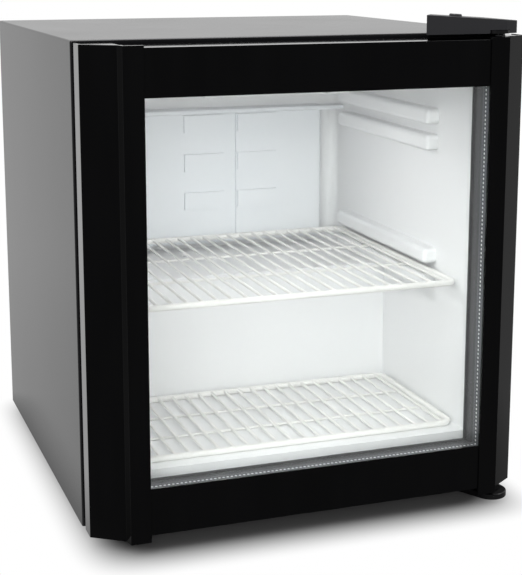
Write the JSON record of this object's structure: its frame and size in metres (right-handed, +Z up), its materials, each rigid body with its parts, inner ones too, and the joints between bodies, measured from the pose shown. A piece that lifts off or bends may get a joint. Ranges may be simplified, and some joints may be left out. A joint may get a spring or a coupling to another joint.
{
  "type": "mini fridge",
  "caption": "Counter-top drinks fridge with a right-hung double-glazed door, a sliding wire shelf and a compressor bay at the lower back.",
  "frame": {"origin": "on the floor, under the middle of the whole fridge with its closed door and condenser", "axes": "+Z up, +X to the right seen from the front, the door faces -Y"},
  "size_m": [0.43, 0.4711, 0.4808],
  "materials": {
    "cabinet_paint": "satin black-grey enamel",
    "door_black": "gloss black",
    "liner_white": "white moulded plastic",
    "shelf_white": "white epoxy coating",
    "clear_glass": "clear toughened glass",
    "spacer_silver": "perforated spacer bar",
    "sealant_grey": "glazing sealant",
    "frame_grey": "moulded plastic",
    "gasket_grey": "soft vinyl",
    "magnet_dark": "bonded magnet strip",
    "hinge_black": "gloss black enamel",
    "cover_black": "satin black plastic",
    "nylon_white": "nylon",
    "zinc_steel": "zinc plated",
    "sheet_steel": "galvanised sheet",
    "foam_cream": "rigid foam",
    "compressor_black": "black stoving paint",
    "copper_tube": "drawn copper",
    "coil_black": "black paint",
    "plate_aluminium": "rolled aluminium",
    "rubber_black": "moulded rubber",
    "plastic_black": "moulded plastic",
    "plastic_grey": "moulded plastic",
    "lens_clear": "frosted diffuser",
    "board_green": "circuit board"
  },
  "bodies": {
    "cabinet": {"cabinet_wrap": "cabinet_paint", "base_pan": "sheet_steel", "back_panel": "sheet_steel", "insulation_foam": "foam_cream", "inner_liner": "liner_white", "evaporator_plate": "plate_aluminium", "evaporator_cover": "liner_white", "control_housing": "liner_white", "thermostat_body": "plastic_grey", "lamp_lens": "lens_clear", "led_board": "board_green", "floor_rack": "shelf_white", "foot_nuts": "zinc_steel", "rear_feet": "plastic_black", "compressor_base": "compressor_black", "compressor_grommets": "rubber_black", "compressor_bolts": "zinc_steel", "compressor_shell": "compressor_black", "relay_cover": "plastic_black", "drip_tray": "plastic_grey", "drain_tube": "plastic_grey", "discharge_pipe": "copper_tube", "suction_pipe": "copper_tube", "process_pipe": "copper_tube", "filter_drier": "copper_tube", "capillary_tube": "copper_tube", "condenser_coil": "coil_black", "condenser_wires": "coil_black", "condenser_brackets": "zinc_steel", "condenser_screws": "zinc_steel", "inlet_bracket": "sheet_steel", "mains_inlet": "plastic_black", "top_hinge_bracket": "hinge_black", "top_hinge_screws": "zinc_steel", "hinge_cover": "cover_black", "hinge_cover_cap": "cover_black", "bottom_hinge_bracket": "hinge_black", "bottom_hinge_screws": "zinc_steel", "hinge_washer": "nylon_white"},
    "door": {"left_stile": "door_black", "right_stile": "door_black", "top_rail": "door_black", "bottom_rail": "door_black", "stile_end_caps": "plastic_black", "hinge_bushes": "nylon_white", "door_inner_frame": "frame_grey", "outer_pane": "clear_glass", "inner_pane": "clear_glass", "glass_spacer": "spacer_silver", "glass_sealant": "sealant_grey", "door_gasket": "gasket_grey", "gasket_magnets": "magnet_dark"},
    "knob": {"thermostat_knob": "plastic_grey"},
    "rocker": {"light_switch": "plastic_black"},
    "shelf": {"wire_shelf": "shelf_white"},
    "foot_left": {"front_foot_left": "plastic_black"},
    "foot_right": {"front_foot_right": "plastic_black"}
  },
  "joints": [
    {"name": "door_swing", "type": "hinge", "parent": "cabinet", "child": "door", "pos_m": [0.193, -0.19955, 0.2], "axis": [0, 0, 1], "range_deg": [0, 110]},
    {"name": "thermostat_turn", "type": "hinge", "parent": "cabinet", "child": "knob", "pos_m": [0.046, -0.11255, 0.413], "axis": [0, -1, 0], "range_deg": [0, 270]},
    {"name": "light_rock", "type": "hinge", "parent": "cabinet", "child": "rocker", "pos_m": [-0.046, -0.11155, 0.413], "axis": [1, 0, 0], "range_deg": [-6, 6]},
    {"name": "shelf_slide", "type": "slide", "parent": "cabinet", "child": "shelf", "axis": [0, -1, 0], "range_m": [0, 0.014]},
    {"name": "foot_left_turn", "type": "hinge", "parent": "cabinet", "child": "foot_left", "pos_m": [-0.18, -0.12055, 0], "axis": [0, 0, 1], "range_deg": [-180, 180]},
    {"name": "foot_right_turn", "type": "hinge", "parent": "cabinet", "child": "foot_right", "pos_m": [0.18, -0.12055, 0], "axis": [0, 0, 1], "range_deg": [-180, 180]}
  ]
}
